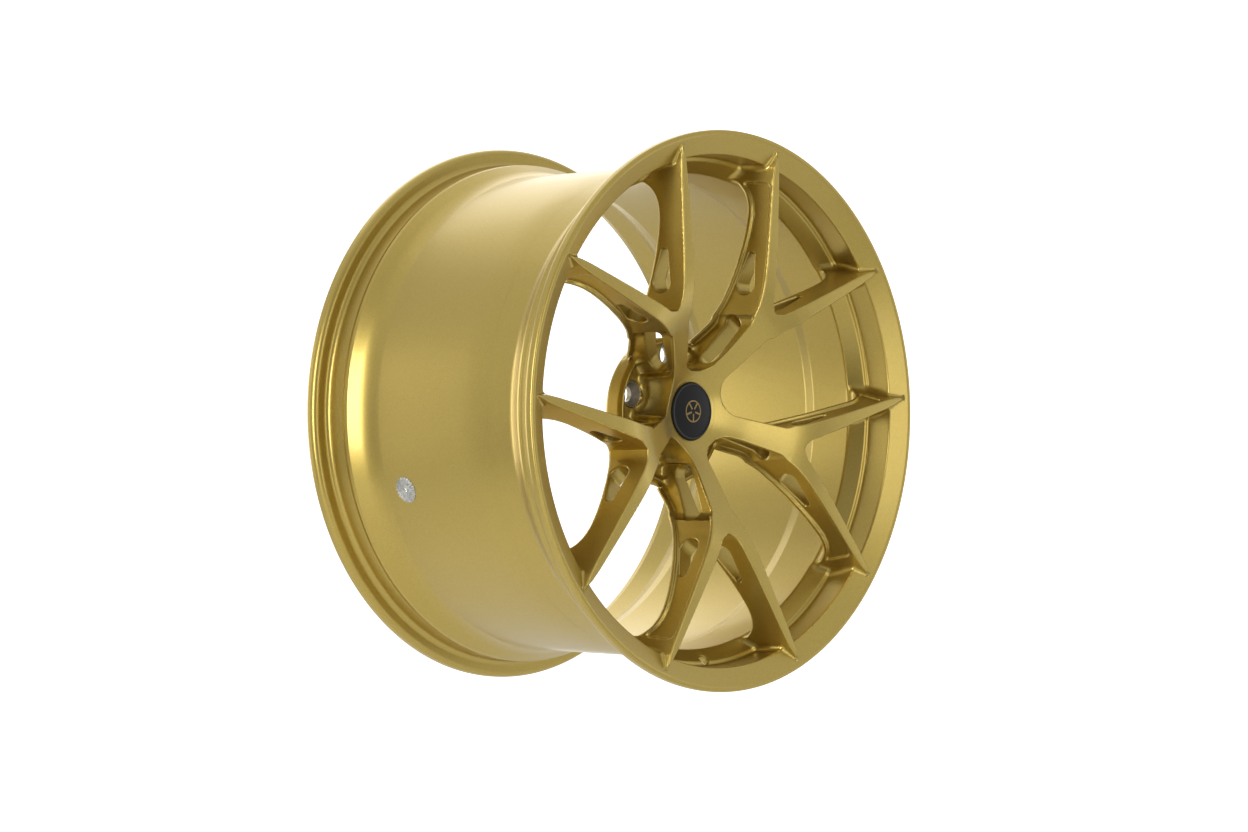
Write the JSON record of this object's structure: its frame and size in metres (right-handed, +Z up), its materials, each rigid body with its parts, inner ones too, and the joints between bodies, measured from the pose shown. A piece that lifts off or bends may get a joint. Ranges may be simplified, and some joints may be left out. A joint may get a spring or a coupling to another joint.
{
  "type": "forged racing wheel rim",
  "caption": "One-piece forged wheel rim with forked spokes, deep drop-centre barrel, ball-seat bolt holes, an open valve hole and a push-in centre cap.",
  "frame": {"origin": "on the wheel's axis, midway between the outer faces of the two lips", "axes": "+Y along the wheel's axis toward the vehicle, so the outboard face looks toward -Y; +Z up with the valve hole at the bottom"},
  "size_m": [0.5474, 0.318, 0.5474],
  "materials": {
    "gold_paint": "satin gold paint over forged aluminium",
    "seat_metal": "bare machined ball seat",
    "cap_black": "moulded black plastic",
    "spring_steel": "bright spring wire",
    "badge_black": "gloss black",
    "mark_gold": "flat gold print",
    "foil": "crinkled foil"
  },
  "bodies": {
    "wheel": {"rim_barrel": "gold_paint", "hub": "gold_paint", "spoke_1": "gold_paint", "spoke_2": "gold_paint", "spoke_3": "gold_paint", "spoke_4": "gold_paint", "spoke_5": "gold_paint", "lug_seat_1": "seat_metal", "lug_seat_2": "seat_metal", "lug_seat_3": "seat_metal", "lug_seat_4": "seat_metal", "lug_seat_5": "seat_metal", "foil_seal": "foil"},
    "cap": {"cap_body": "cap_black", "cap_spring": "spring_steel", "cap_badge": "badge_black", "cap_mark": "mark_gold"}
  },
  "joints": [
    {"name": "cap_pull", "type": "slide", "parent": "wheel", "child": "cap", "axis": [0, -1, 0], "range_m": [0, 0.04]}
  ]
}
